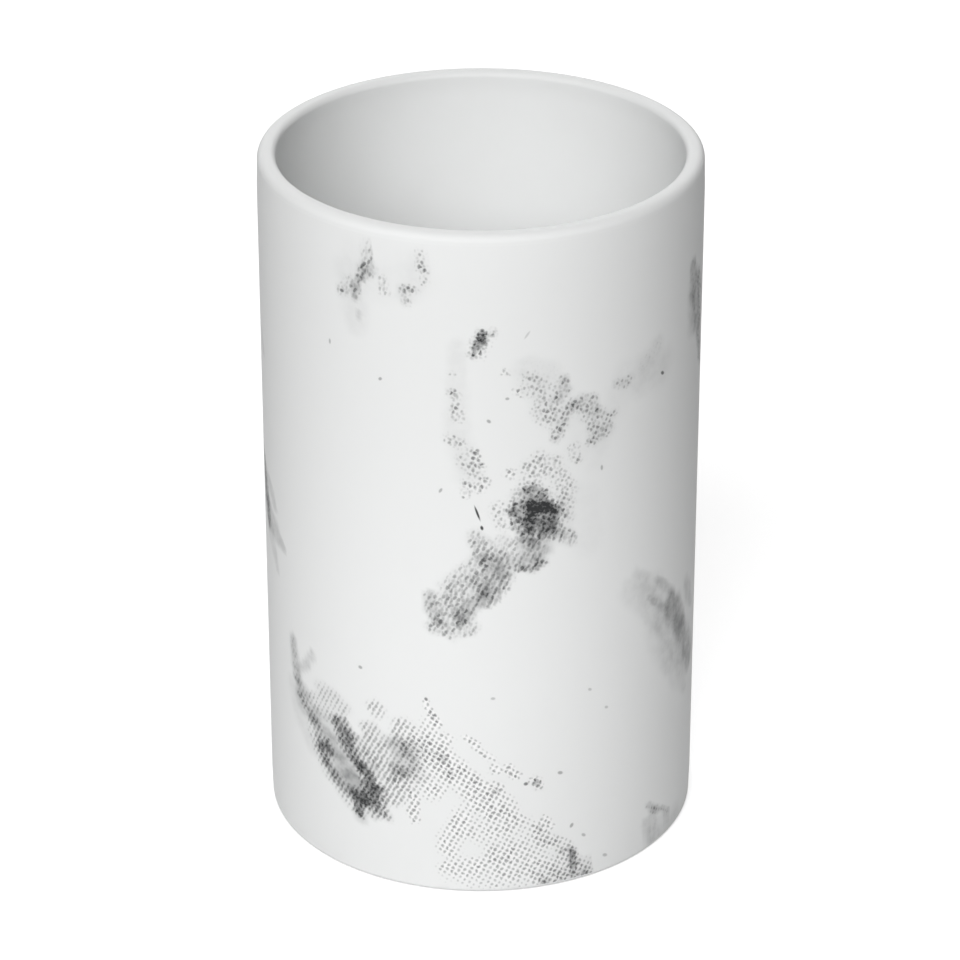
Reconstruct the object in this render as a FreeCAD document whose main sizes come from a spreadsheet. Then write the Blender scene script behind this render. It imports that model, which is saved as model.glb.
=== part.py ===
"""Bathroom tumbler: a straight-sided ceramic cup whose wall carries a marble-effect printed film, standing on
a non-slip pad that is bonded into the recess of its foot.

Frame: millimetres, +Z up, origin in the middle of the pad's underside, where the tumbler stands. The front of
the print faces -Y, and the two ends of the film meet at the back, on +Y.

Pieces, as they would come apart on a bench:
    tumbler_body   the cup: wall, rounded lip, floor, and a foot ring round a shallow recess
    marble_film    the printed transfer, one sheet wrapped round the straight part of the wall
    pad_adhesive   the disc of transfer tape that holds the pad in the recess
    base_pad       the foam pad that the tumbler stands on
"""

import FreeCAD
import Part
import Sketcher
import enum
import os

# Driving dimensions, in millimetres. Every other size and place is an expression of these.
DRIVING_SIZES = {
    "outer_diameter": 70.0,  # across the printed wall
    "overall_height": 115.0,  # from the surface it stands on to the top of the lip
    "wall_thickness": 2.9,  # of the cup alone, without the film
    "floor_thickness": 4.0,  # between the inside and the recess
    "floor_corner_radius": 6.0,  # inside, where the wall meets the floor
    "rim_outer_radius": 1.3,  # rounding of the lip towards the outside
    "rim_inner_radius": 1.0,  # rounding of the lip towards the inside
    "base_edge_radius": 0.5,  # rounding of the foot towards the outside
    "foot_ring_width": 5.0,  # from the outside of the cup to the recess
    "foot_edge_radius": 0.4,  # rounding of the foot towards the recess
    "foot_lift": 0.2,  # the foot ring stays this far above the surface
    "film_thickness": 0.1,
    "film_rim_margin": 0.4,  # bare wall between the film and the rounding of the lip
    "film_base_margin": 0.1,  # bare wall between the film and the rounding of the foot
    "film_seam_gap": 0.4,  # between the two ends of the film, along the wall
    "pad_thickness": 1.5,
    "pad_clearance": 0.3,  # between the pad's edge and the recess
    "pad_edge_radius": 0.35,
    "adhesive_thickness": 0.15,
    "adhesive_inset": 0.6,  # the tape's edge lies this far inside the pad's
}

# Each rounding of the lip takes at most this share of the wall, and each rounding of the foot of its ring.
ROUNDING_SHARE = 0.45

# Radii from the axis, from the outside inwards.
FILM_RADIUS = "(Sizes.outer_diameter / 2)"
CUP_RADIUS = f"({FILM_RADIUS} - Sizes.film_thickness)"
INSIDE_RADIUS = f"({CUP_RADIUS} - Sizes.wall_thickness)"
RECESS_RADIUS = f"({CUP_RADIUS} - Sizes.foot_ring_width)"
PAD_RADIUS = f"({RECESS_RADIUS} - Sizes.pad_clearance)"
ADHESIVE_RADIUS = f"({PAD_RADIUS} - Sizes.adhesive_inset)"

# Heights above the surface, from the bottom upwards.
GROUND = "0"
FOOT_HEIGHT = "Sizes.foot_lift"
PAD_TOP = "Sizes.pad_thickness"
RECESS_TOP = f"({PAD_TOP} + Sizes.adhesive_thickness)"
FLOOR_HEIGHT = f"({RECESS_TOP} + Sizes.floor_thickness)"
RIM_HEIGHT = "Sizes.overall_height"

# Roundings, each limited by the wall that it is on.
RIM_OUTER_ROUND = f"min(Sizes.rim_outer_radius; {ROUNDING_SHARE} * Sizes.wall_thickness)"
RIM_INNER_ROUND = f"min(Sizes.rim_inner_radius; {ROUNDING_SHARE} * Sizes.wall_thickness)"
BASE_EDGE_ROUND = f"min(Sizes.base_edge_radius; {ROUNDING_SHARE} * Sizes.foot_ring_width)"
FOOT_EDGE_ROUND = f"min(Sizes.foot_edge_radius; {ROUNDING_SHARE} * ({RECESS_TOP} - {FOOT_HEIGHT}))"
PAD_EDGE_ROUND = f"min(Sizes.pad_edge_radius; {ROUNDING_SHARE} * Sizes.pad_thickness)"

# The film covers the straight part of the wall.
FILM_BOTTOM = f"({FOOT_HEIGHT} + {BASE_EDGE_ROUND} + Sizes.film_base_margin)"
FILM_TOP = f"({RIM_HEIGHT} - {RIM_OUTER_ROUND} - Sizes.film_rim_margin)"
FULL_TURN = "360"
FILM_ANGLE = f"({FULL_TURN} - {FULL_TURN} * Sizes.film_seam_gap / (pi * Sizes.outer_diameter))"

AXIS = "0"
SAME_PLACE = 1e-4
PARTS_FOLDER = "parts"


class Reference(enum.IntEnum):
    """The numbers by which a sketch knows its own origin and axes."""

    ORIGIN = -1
    UPRIGHT_AXIS = -2


class End(enum.IntEnum):
    """The numbers by which a sketch knows the two ends of a line."""

    START = 1
    FINISH = 2


def make_sheet(doc):
    """The spreadsheet of driving dimensions: one row each, with the name in A and the number in B."""
    sheet = doc.addObject("Spreadsheet::Sheet", "Sizes")
    for row, (alias, value) in enumerate(DRIVING_SIZES.items(), start=1):
        sheet.set(f"A{row}", alias)
        sheet.set(f"B{row}", str(value))
        sheet.setAlias(f"B{row}", alias)
    doc.recompute()
    return sheet


def make_body(doc, label):
    """An empty body whose label names its file."""
    body = doc.addObject("PartDesign::Body", label)
    body.Label = label
    body.Placement = FreeCAD.Placement()
    return body


def make_sketch(body, name, plane):
    """A sketch on one of the body's own origin planes."""
    sketch = body.newObject("Sketcher::SketchObject", name)
    support = next(f for f in body.Origin.OriginFeatures if f.Role == plane)
    sketch.AttachmentSupport = [(support, "")]
    sketch.MapMode = "FlatFace"
    return sketch


def bind(sketch, constraint, name, expression):
    """Adds a dimension to the sketch under a name, and drives it by an expression of the sheet."""
    index = sketch.addConstraint(constraint)
    sketch.renameConstraint(index, name)
    sketch.setExpression(f"Constraints.{name}", expression)


def half_section(body, sheet, name, plane, corners, side=1):
    """A closed half section of level and upright edges, drawn beside the upright axis.

    corners holds (radius, height) expressions in order round the outline. The first edge, from the first
    corner to the second, is level. side is 1 to draw towards the plane's own first axis and -1 to draw away
    from it.
    """
    sketch = make_sketch(body, name, plane)
    points = [
        FreeCAD.Vector(side * sheet.evalExpression(radius), sheet.evalExpression(height), 0)
        for radius, height in corners
    ]
    count = len(corners)
    for i in range(count):
        sketch.addGeometry(Part.LineSegment(points[i], points[(i + 1) % count]), False)
    for i in range(count):
        after = (i + 1) % count
        direction = "Vertical" if i % 2 else "Horizontal"
        sketch.addConstraint(Sketcher.Constraint("Coincident", i, End.FINISH, after, End.START))
        sketch.addConstraint(Sketcher.Constraint(direction, i))
    origin = (Reference.ORIGIN, End.START)
    for i, (radius, height) in enumerate(corners):
        place = (i, End.START)
        if i % 2 == 0:
            rise = Sketcher.Constraint("DistanceY", *origin, *place, points[i].y)
            bind(sketch, rise, f"height_{i}", height)
        elif radius == AXIS:
            sketch.addConstraint(Sketcher.Constraint("PointOnObject", *place, Reference.UPRIGHT_AXIS))
        else:
            ends = (*origin, *place) if side > 0 else (*place, *origin)
            reach = Sketcher.Constraint("DistanceX", *ends, abs(points[i].x))
            bind(sketch, reach, f"radius_{i}", radius)
    return sketch


def revolve(body, name, sketch, angle=FULL_TURN):
    """Turns a half section about the upright axis, equally to both sides of the sketch."""
    turned = body.newObject("PartDesign::Revolution", name)
    turned.Profile = sketch
    turned.ReferenceAxis = (sketch, ["V_Axis"])
    turned.Midplane = True
    turned.setExpression("Angle", angle)
    return turned


def ring_edges(shape, radius, height):
    """The names of the edges that lie on a level circle of this radius, at this height."""
    names = []
    for number, edge in enumerate(shape.Edges, start=1):
        if not isinstance(edge.Curve, Part.Circle):
            continue
        off_radius = abs(edge.Curve.Radius - radius)
        off_height = abs(edge.Curve.Center.z - height)
        if max(off_radius, off_height) < SAME_PLACE:
            names.append(f"Edge{number}")
    return names


def round_ring(body, sheet, base, name, rounding, radius, height):
    """Rounds the level circular edge of base at the place that two expressions give."""
    body.Document.recompute()
    edges = ring_edges(base.Shape, sheet.evalExpression(radius), sheet.evalExpression(height))
    if not edges:
        raise RuntimeError(f"{body.Label}: no edge to round for {name}")
    fillet = body.newObject("PartDesign::Fillet", name)
    fillet.Base = (base, edges)
    fillet.setExpression("Radius", rounding)
    return fillet


def make_tumbler_body(doc, sheet):
    """The cup, turned from one half section and then rounded at its lip, its inside corner and its foot."""
    body = make_body(doc, "tumbler_body")
    section = half_section(
        body,
        sheet,
        "cup_section",
        "XZ_Plane",
        [
            (RECESS_RADIUS, FOOT_HEIGHT),
            (CUP_RADIUS, FOOT_HEIGHT),
            (CUP_RADIUS, RIM_HEIGHT),
            (INSIDE_RADIUS, RIM_HEIGHT),
            (INSIDE_RADIUS, FLOOR_HEIGHT),
            (AXIS, FLOOR_HEIGHT),
            (AXIS, RECESS_TOP),
            (RECESS_RADIUS, RECESS_TOP),
        ],
    )
    shape = revolve(body, "cup_turned", section)
    shape = round_ring(body, sheet, shape, "lip_outside", RIM_OUTER_ROUND, CUP_RADIUS, RIM_HEIGHT)
    shape = round_ring(body, sheet, shape, "lip_inside", RIM_INNER_ROUND, INSIDE_RADIUS, RIM_HEIGHT)
    shape = round_ring(
        body, sheet, shape, "inside_corner", "Sizes.floor_corner_radius", INSIDE_RADIUS, FLOOR_HEIGHT
    )
    shape = round_ring(body, sheet, shape, "foot_outside", BASE_EDGE_ROUND, CUP_RADIUS, FOOT_HEIGHT)
    round_ring(body, sheet, shape, "foot_inside", FOOT_EDGE_ROUND, RECESS_RADIUS, FOOT_HEIGHT)
    return body


def make_marble_film(doc, sheet):
    """The printed film, swept round the wall from the front, so that its two ends meet at the back."""
    body = make_body(doc, "marble_film")
    section = half_section(
        body,
        sheet,
        "film_section",
        "YZ_Plane",
        [
            (CUP_RADIUS, FILM_BOTTOM),
            (FILM_RADIUS, FILM_BOTTOM),
            (FILM_RADIUS, FILM_TOP),
            (CUP_RADIUS, FILM_TOP),
        ],
        side=-1,
    )
    revolve(body, "film_wrapped", section, FILM_ANGLE)
    return body


def make_disc(doc, sheet, label, radius, bottom, top):
    """A flat disc on the axis, between two heights."""
    body = make_body(doc, label)
    section = half_section(
        body,
        sheet,
        f"{label}_section",
        "XZ_Plane",
        [(AXIS, bottom), (radius, bottom), (radius, top), (AXIS, top)],
    )
    return body, revolve(body, f"{label}_turned", section)


def make_base_pad(doc, sheet):
    """The non-slip pad, die-cut from sheet foam, with the edge that meets the surface eased."""
    body, disc = make_disc(doc, sheet, "base_pad", PAD_RADIUS, GROUND, PAD_TOP)
    round_ring(body, sheet, disc, "pad_edge", PAD_EDGE_ROUND, PAD_RADIUS, GROUND)
    return body


def make_pad_adhesive(doc, sheet):
    """The disc of transfer tape between the pad and the roof of the recess."""
    body, _ = make_disc(doc, sheet, "pad_adhesive", ADHESIVE_RADIUS, PAD_TOP, RECESS_TOP)
    return body


def check(doc, pieces):
    """Stops the build if an object failed or a piece isn't one sound solid."""
    for item in doc.Objects:
        if {"Invalid", "Error"} & set(item.State):
            raise RuntimeError(f"{item.Label}: {item.State}")
    for piece in pieces:
        shape = piece.Shape
        if shape.isNull() or not shape.isValid() or len(shape.Solids) != 1:
            raise RuntimeError(f"{piece.Label}: not one valid solid")


def write(pieces):
    """Writes each piece to its own file and prints its volume and reach."""
    os.makedirs(PARTS_FOLDER, exist_ok=True)
    for piece in pieces:
        piece.Shape.exportStep(os.path.join(PARTS_FOLDER, f"{piece.Label}.step"))
        box = piece.Shape.optimalBoundingBox()
        size = f"{box.XLength:.2f} x {box.YLength:.2f} x {box.ZLength:.2f} mm"
        print(f"{piece.Label}: {piece.Shape.Volume:.1f} mm3, {size}, from z {box.ZMin:.2f}")


def main():
    """Builds the tumbler and writes its pieces."""
    doc = FreeCAD.newDocument("bathroom_tumbler")
    sheet = make_sheet(doc)
    pieces = [
        make_tumbler_body(doc, sheet),
        make_marble_film(doc, sheet),
        make_pad_adhesive(doc, sheet),
        make_base_pad(doc, sheet),
    ]
    doc.recompute()
    check(doc, pieces)
    write(pieces)


main()
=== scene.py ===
"""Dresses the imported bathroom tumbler: models its pieces over the frame, gives each its finish, and sets up
the light, the floor and the camera of the reference view.

Sizes are metres in the frame's axes. Only the marble print is laid out in millimetres, on the unrolled wall:
u runs to the right from the middle of the front, and v runs up from the surface that the tumbler stands on.
"""

import logging
import math
from dataclasses import dataclass, replace
from enum import Enum
from typing import Callable, Iterable, Union

import bmesh
import bpy
import numpy as np
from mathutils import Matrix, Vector, noise

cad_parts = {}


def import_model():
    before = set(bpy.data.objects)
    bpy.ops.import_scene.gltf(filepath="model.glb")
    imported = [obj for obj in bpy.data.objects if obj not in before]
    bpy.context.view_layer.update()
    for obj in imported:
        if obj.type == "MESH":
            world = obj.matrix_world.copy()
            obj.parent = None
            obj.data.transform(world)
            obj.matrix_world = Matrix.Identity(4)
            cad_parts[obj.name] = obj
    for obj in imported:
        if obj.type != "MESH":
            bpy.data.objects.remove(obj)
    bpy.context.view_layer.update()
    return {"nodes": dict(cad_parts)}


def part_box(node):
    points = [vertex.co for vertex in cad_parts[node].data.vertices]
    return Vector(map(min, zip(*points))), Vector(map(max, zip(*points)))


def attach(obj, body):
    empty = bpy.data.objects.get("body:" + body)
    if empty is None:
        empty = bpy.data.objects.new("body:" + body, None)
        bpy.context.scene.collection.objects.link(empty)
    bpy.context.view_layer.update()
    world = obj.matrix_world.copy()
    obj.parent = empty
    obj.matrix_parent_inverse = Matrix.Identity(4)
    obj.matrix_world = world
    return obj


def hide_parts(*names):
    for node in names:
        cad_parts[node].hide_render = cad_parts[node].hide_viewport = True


LOG = logging.getLogger("bathroom_tumbler")
MM = 0.001
BODY = "root"
SIDES = 288
FULL_TURN = 2 * math.pi
WALL = 2.9 * MM
FLOOR = 4.0 * MM
PAD_ROOM = 0.3 * MM
SEAM_GAP = 0.4 * MM
MATTE_INDEX = 1.33
NOISE_ROUGHNESS = 0.55
EASE_INPUTS = ("Value", "From Min", "From Max", "To Min", "To Max")
MIDDLE = (0.5, 0.5, 0.5)
HALF_CELL = (0.5, 0.5, 0.0)
MERGED_BELOW = MM / 1000

# The sockets of a Mix node for colours: its share and the two colours, and the result
MIX_INPUTS = (0, 6, 7)
MIX_RESULT = 2

Socket = bpy.types.NodeSocket
Source = Union[Socket, float, tuple]
Colour = tuple[float, float, float, float]
Span = tuple[float, float]
Place = tuple[float, float, float]
Piece = bpy.types.Object


class Press(Enum):
    """How the ink of a stroke is laid; the value names the film's attribute that carries its strength."""

    SCREEN = "screen_ink"  # halftone dots, whose size follows the tone
    WASH = "wash_ink"  # an even veil of thin ink


@dataclass(frozen=True)
class Stroke:
    """One soft brush stroke of the print on the unrolled wall, in millimetres.

    path has a (u, v, half width) for each place that the brush goes through, and one place alone is a dab.
    screen and wash are the strengths of the two inks, from 0 to 1.
    """

    path: tuple[Place, ...]
    screen: float
    wash: float


@dataclass(frozen=True)
class Speck:
    """One crisp speck or hairline of solid ink: an oval on the unrolled wall, half sizes in millimetres."""

    u: float
    v: float
    length: float
    width: float
    turn: float = 0.0
    strength: float = 1.0


def daub(screen: float, wash: float, *path: Place) -> Stroke:
    """One stroke, by the strengths of its two inks and the places that the brush goes through."""
    return Stroke(path, screen, wash)


def moved(strokes: tuple[Stroke, ...], u: float, v: float, mirrored: bool = False) -> tuple[Stroke, ...]:
    """Repeats strokes at another place on the unrolled wall.

    Args:
        strokes: the strokes to repeat.
        u: how far they move to the right, in millimetres.
        v: how far they move up.
        mirrored: whether left and right change places before that.

    Returns:
        The moved strokes.
    """
    side = -1 if mirrored else 1
    return tuple(
        replace(stroke, path=tuple((u + side * across, v + up, half) for across, up, half in stroke.path))
        for stroke in strokes
    )


# The black heart in the middle of the front, and the halo round it
HEART = (
    daub(0.7, 0.3, (5.6, 69.4, 2.2), (8.4, 68.8, 4.6), (10.4, 68.0, 3.6)),
    daub(0.48, 0.25, (7.0, 64.6, 1.8), (9.4, 64.4, 2.2), (11.4, 64.8, 1.8)),
    daub(0.55, 0.2, (5.4, 71.6, 1.3), (7.6, 72.2, 1.8), (9.8, 71.6, 1.6)),
    daub(0.55, 0.18, (5.8, 67.0, 1.8), (8.0, 66.0, 2.0), (11.0, 66.2, 2.0)),
    daub(0.96, 0.0, (7.9, 70.0, 1.7), (8.0, 68.9, 1.9)),
    daub(0.96, 0.0, (9.8, 69.9, 1.5), (10.6, 69.2, 1.9), (11.7, 68.4, 1.4)),
    daub(0.7, 0.0, (8.6, 68.9, 0.9), (9.6, 69.0, 0.9)),
    daub(0.38, 0.0, (8.6, 67.2, 1.3), (10.2, 66.4, 1.7), (11.6, 66.6, 1.3)),
    daub(0.0, 0.1, (12.6, 69.0, 2.6), (12.6, 64.6, 2.4)),
    daub(0.4, 0.1, (6.4, 67.2, 1.6)),
    daub(0.0, 0.2, (10.4, 62.2, 1.9)),
    daub(0.0, 0.04, (16.5, 70.0, 4.2), (17.0, 62.0, 4.2)),
    daub(0.3, 0.1, (3.4, 64.2, 1.7), (4.2, 62.2, 1.9)),
    daub(0.75, 0.0, (5.1, 70.6, 1.1), (4.8, 69.0, 1.2)),
    daub(0.62, 0.0, (7.6, 67.6, 1.2), (7.4, 65.5, 1.2)),
    daub(0.38, 0.06, (7.4, 73.6, 2.4), (8.2, 75.6, 3.4), (9.0, 77.6, 2.2)),
    daub(0.3, 0.05, (11.2, 76.5, 2.4), (13.4, 72.0, 2.6), (13.8, 67.5, 2.2)),
    daub(0.3, 0.03, (2.6, 69.6, 2.2), (3.2, 67.2, 2.0)),
    daub(0.36, 0.42, (6.8, 64.2, 2.2), (8.0, 62.0, 3.2), (8.0, 60.4, 2.9)),
    daub(0.38, 0.2, (5.4, 59.4, 1.0), (7.8, 58.7, 1.0), (9.8, 59.6, 0.9)),
    daub(0.42, 0.18, (10.6, 64.6, 1.8), (12.8, 63.9, 1.9), (14.4, 62.8, 1.4)),
)

# The long grey smudge that runs down to the left of the heart
LONG_SMUDGE = (
    daub(0.26, 0.27, (1.2, 60.2, 2.4), (3.4, 59.8, 2.6), (5.0, 59.8, 1.8)),
    daub(0.28, 0.36, (3.0, 58.0, 2.4), (1.4, 56.4, 3.0), (0.4, 54.4, 2.6)),
    daub(0.36, 0.16, (-0.8, 64.8, 2.0), (0.2, 63.0, 2.6), (1.6, 62.2, 2.2)),
    daub(0.34, 0.17, (0.2, 59.6, 3.4), (-3.0, 55.6, 4.6), (-4.8, 52.2, 4.4)),
    daub(0.36, 0.42, (0.4, 54.6, 1.4), (-0.8, 53.0, 1.8), (-2.6, 51.4, 2.2), (-3.2, 50.0, 1.6)),
    daub(0.34, 0.3, (-8.0, 54.2, 1.2), (-7.8, 52.0, 1.6), (-6.8, 50.0, 1.5)),
    daub(0.32, 0.14, (-7.2, 48.6, 1.8), (-4.6, 48.0, 2.2), (-1.6, 49.0, 2.0)),
    daub(0.4, 0.08, (4.4, 57.4, 1.3), (3.2, 55.2, 1.3), (1.2, 52.8, 1.1)),
)

# The two dark streaks at the lower left
LEFT_STREAKS = (
    daub(0.15, 0.36, (-36.2, 37.5, 1.4), (-36.0, 34.0, 1.6), (-35.2, 30.6, 1.8)),
    daub(0.0, 0.26, (-30.8, 37.0, 1.3), (-32.0, 34.8, 1.4), (-34.2, 32.6, 1.7)),
    daub(0.16, 0.36, (-35.0, 30.5, 2.0), (-33.2, 28.2, 2.8), (-31.0, 25.8, 2.6)),
    daub(0.6, 0.25, (-34.2, 27.8, 0.9), (-32.8, 26.5, 1.0)),
    daub(0.4, 0.34, (-30.8, 25.2, 1.6), (-29.4, 23.2, 1.8), (-28.8, 21.6, 1.8)),
    daub(0.66, 0.35, (-28.8, 20.8, 1.7), (-27.4, 20.4, 2.4), (-27.6, 18.8, 1.7)),
    daub(0.55, 0.25, (-27.4, 22.4, 1.1), (-26.6, 21.4, 1.3)),
    daub(0.42, 0.4, (-27.2, 18.2, 1.6), (-24.8, 16.2, 1.8), (-22.4, 14.6, 1.6)),
    daub(0.76, 0.3, (-21.4, 14.2, 1.4), (-20.6, 11.8, 1.3)),
    daub(0.5, 0.3, (-23.4, 27.4, 1.4), (-22.0, 25.2, 1.7)),
    daub(0.06, 0.38, (-27.2, 23.4, 2.4), (-25.4, 21.6, 2.8), (-23.2, 18.4, 3.4), (-21.6, 16.2, 2.6)),
    daub(0.74, 0.42, (-25.2, 27.2, 1.7), (-24.0, 25.0, 2.3), (-22.4, 22.8, 2.2), (-20.6, 20.6, 1.8)),
    daub(0.3, 0.14, (-21.2, 25.0, 1.8), (-19.2, 22.2, 2.2)),
    daub(0.0, 0.1, (-36.8, 29.0, 2.2), (-34.6, 24.0, 2.8), (-31.6, 20.0, 2.4)),
    daub(0.0, 0.2, (-20.4, 11.2, 2.0)),
    daub(0.0, 0.22, (-28.8, 26.2, 2.4), (-26.8, 24.0, 2.4)),
    daub(0.0, 0.2, (-35.0, 27.4, 1.8), (-33.2, 25.2, 1.6)),
    daub(0.0, 0.25, (-22.4, 17.8, 2.2), (-20.6, 16.6, 1.8)),
    daub(0.0, 0.26, (-24.4, 19.6, 2.4), (-21.8, 16.8, 2.2)),
    daub(0.4, 0.24, (-18.8, 13.8, 1.8), (-17.4, 12.2, 1.6)),
    daub(0.82, 0.4, (-19.8, 20.0, 1.8), (-18.8, 18.2, 2.5), (-18.4, 16.2, 2.7), (-19.4, 14.2, 2.2)),
    daub(0.5, 0.2, (-20.6, 15.2, 1.8), (-20.0, 13.2, 1.8)),
    daub(0.55, 0.28, (-17.0, 17.0, 2.0), (-16.6, 14.4, 2.1), (-15.8, 12.6, 1.6)),
    daub(0.22, 0.1, (-30.4, 28.6, 2.6), (-27.6, 28.0, 3.0), (-26.0, 27.4, 2.6)),
    daub(0.22, 0.1, (-28.6, 31.6, 2.4), (-26.0, 31.0, 2.6), (-23.6, 30.0, 2.4)),
    daub(0.24, 0.08, (-31.4, 23.2, 1.8), (-28.8, 18.4, 1.9), (-24.6, 14.4, 1.8), (-22.0, 12.2, 1.5)),
)

# The large pale patch of dots to the right of them
PALE_PATCH = (
    daub(0.36, 0.12, (-18.6, 27.5, 2.6), (-17.2, 25.4, 3.6), (-16.0, 21.0, 4.0)),
    daub(0.32, 0.03, (-17.2, 31.8, 2.6)),
    daub(0.0, 0.2, (-17.8, 20.8, 1.8)),
    daub(0.2, 0.12, (-10.0, 21.4, 2.4)),
    daub(0.25, 0.38, (-13.8, 26.4, 2.4), (-11.8, 24.8, 3.6), (-12.8, 22.2, 3.0)),
    daub(0.44, 0.05, (-12.6, 29.0, 3.4), (-10.4, 26.6, 4.6)),
    daub(0.3, 0.0, (-8.4, 31.0, 2.0), (-7.4, 27.0, 3.0), (-7.4, 22.5, 3.8), (-6.8, 19.6, 2.8)),
    daub(0.42, 0.08, (-12.4, 20.0, 3.8), (-14.4, 16.8, 3.0)),
    daub(0.46, 0.0, (-6.0, 24.5, 3.6), (-2.8, 21.6, 3.2), (-0.4, 18.6, 4.0),
         (2.6, 16.2, 4.2), (4.2, 13.6, 3.4)),
    daub(0.6, 0.06, (2.6, 19.8, 1.8)),
    daub(0.45, 0.0, (-11.0, 17.0, 1.5), (-10.8, 13.2, 1.3)),
    daub(0.5, 0.0, (-8.7, 35.2, 0.9), (-8.0, 33.2, 1.0), (-6.8, 31.3, 1.2)),
    daub(0.42, 0.0, (-2.8, 29.2, 0.9), (-0.6, 27.0, 1.0), (1.4, 25.2, 0.9)),
    daub(0.36, 0.0, (2.2, 23.4, 1.8)),
    daub(0.5, 0.0, (4.4, 23.3, 1.3), (5.6, 22.0, 1.2)),
    daub(0.62, 0.1, (8.6, 20.4, 1.2), (9.2, 19.2, 1.1)),
    daub(0.3, 0.0, (-3.0, 15.0, 2.6), (-4.5, 11.0, 2.8), (-4.6, 8.0, 2.6)),
    daub(0.27, 0.0, (-2.4, 12.6, 3.6), (1.6, 10.6, 3.6), (5.0, 9.4, 3.0)),
    daub(0.26, 0.0, (-8.2, 18.2, 2.8)),
    daub(0.3, 0.0, (-5.4, 28.6, 1.9)),
    daub(0.22, 0.0, (6.8, 13.0, 2.4), (8.4, 10.5, 2.4)),
)

# What runs off the bottom edge
BASE_EDGE = (
    daub(0.42, 0.0, (-5.6, 4.0, 2.6), (-2.0, 4.0, 4.2), (3.0, 4.0, 4.6), (8.0, 3.4, 4.4), (12.0, 3.0, 3.6)),
    daub(0.3, 0.0, (2.0, 7.2, 2.4), (6.0, 7.4, 2.4), (9.6, 7.6, 2.6)),
    daub(0.4, 0.06, (7.5, 2.6, 2.0), (9.5, 2.2, 2.2)),
    daub(0.2, 0.0, (-6.2, 8.0, 2.0), (-6.4, 11.0, 1.5)),
    daub(0.45, 0.04, (9.2, 11.4, 1.8), (10.4, 9.2, 2.0)),
    daub(0.36, 0.06, (11.8, 8.6, 1.8), (13.8, 7.2, 1.8)),
    daub(0.46, 0.16, (10.4, 1.8, 2.2), (13.0, 1.4, 2.4), (15.8, 1.2, 1.8)),
    daub(0.78, 0.36, (14.9, 6.0, 0.9), (15.8, 3.8, 1.3), (17.8, 0.8, 1.4)),
    daub(0.42, 0.12, (13.6, 5.6, 2.2), (15.4, 2.6, 2.2)),
    daub(0.55, 0.0, (10.2, 13.2, 1.1), (11.2, 11.8, 1.0)),
)

# What runs off it at the far right
BASE_RIGHT = (
    daub(0.1, 0.2, (32.6, 6.5, 1.7), (33.0, 3.0, 2.6), (33.5, 0.8, 2.4)),
    daub(0.2, 0.32, (30.6, 8.7, 0.7), (33.6, 7.0, 1.0), (37.0, 4.6, 1.1)),
    daub(0.0, 0.2, (36.0, 2.5, 2.8), (41.0, 2.0, 2.8)),
)

# The light patches above the heart
UPPER_PATCHES = (
    daub(0.44, 0.22, (12.8, 90.2, 1.5), (12.8, 88.8, 1.7), (12.0, 87.4, 1.4)),
    daub(0.25, 0.06, (7.5, 90.6, 2.6), (9.4, 88.6, 3.4), (9.0, 85.8, 2.8)),
    daub(0.44, 0.14, (14.0, 85.8, 1.5), (12.8, 83.2, 1.7), (11.6, 80.8, 1.3)),
    daub(0.32, 0.03, (11.2, 85.8, 2.2), (10.6, 83.8, 2.4)),
    daub(0.08, 0.05, (6.5, 93.0, 3.0), (10.5, 92.0, 3.0)),
    daub(0.4, 0.2, (15.4, 86.0, 2.0), (17.2, 85.6, 2.3), (18.2, 84.0, 1.6)),
    daub(0.22, 0.05, (16.4, 83.6, 2.0), (19.4, 83.4, 1.8)),
    daub(0.42, 0.18, (18.0, 81.2, 1.9), (19.8, 80.2, 2.0), (21.0, 80.6, 1.3)),
    daub(0.3, 0.1, (20.0, 82.6, 1.4), (21.8, 82.6, 1.3)),
    daub(0.48, 0.1, (17.6, 79.2, 1.5)),
    daub(0.34, 0.03, (14.6, 78.5, 1.6), (15.2, 76.5, 1.5)),
    daub(0.3, 0.14, (22.6, 87.3, 1.4), (24.4, 87.2, 1.6)),
    daub(0.1, 0.09, (28.0, 89.4, 2.6), (31.0, 91.4, 2.4)),
    daub(0.0, 0.07, (27.0, 86.5, 3.6), (33.0, 88.0, 3.6)),
    daub(0.0, 0.05, (19.0, 78.6, 3.0), (24.0, 88.4, 4.0), (31.0, 86.4, 5.0)),
    daub(0.62, 0.05, (-4.4, 89.1, 1.1)),
    daub(0.5, 0.0, (-3.4, 88.7, 0.9)),
    daub(0.42, 0.0, (-3.7, 87.0, 1.5), (-3.4, 85.0, 1.5)),
    daub(0.42, 0.04, (-4.6, 81.4, 1.8), (-3.2, 80.6, 1.5)),
    daub(0.52, 0.0, (-1.2, 79.4, 1.2), (-0.6, 78.4, 1.1)),
    daub(0.3, 0.05, (-2.6, 77.6, 2.1), (-1.0, 76.0, 2.0)),
    daub(0.55, 0.0, (0.2, 77.0, 1.0)),
    daub(0.52, 0.04, (0.3, 74.4, 1.2), (-0.2, 73.2, 1.3)),
    daub(0.4, 0.03, (-2.0, 73.6, 1.7), (-2.2, 72.4, 1.4)),
    daub(0.0, 0.075, (-3.6, 97.0, 2.0), (-3.8, 84.0, 2.8), (-2.0, 76.0, 3.6)),
    daub(0.0, 0.04, (8.0, 92.0, 4.4), (14.0, 84.0, 4.4), (18.0, 76.0, 4.0)),
    daub(0.45, 0.0, (4.4, 75.6, 1.4)),
    daub(0.45, 0.0, (-4.4, 92.4, 0.9)),
    daub(0.5, 0.0, (3.6, 92.7, 1.0)),
    daub(0.45, 0.0, (5.6, 89.2, 1.0)),
)

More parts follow.
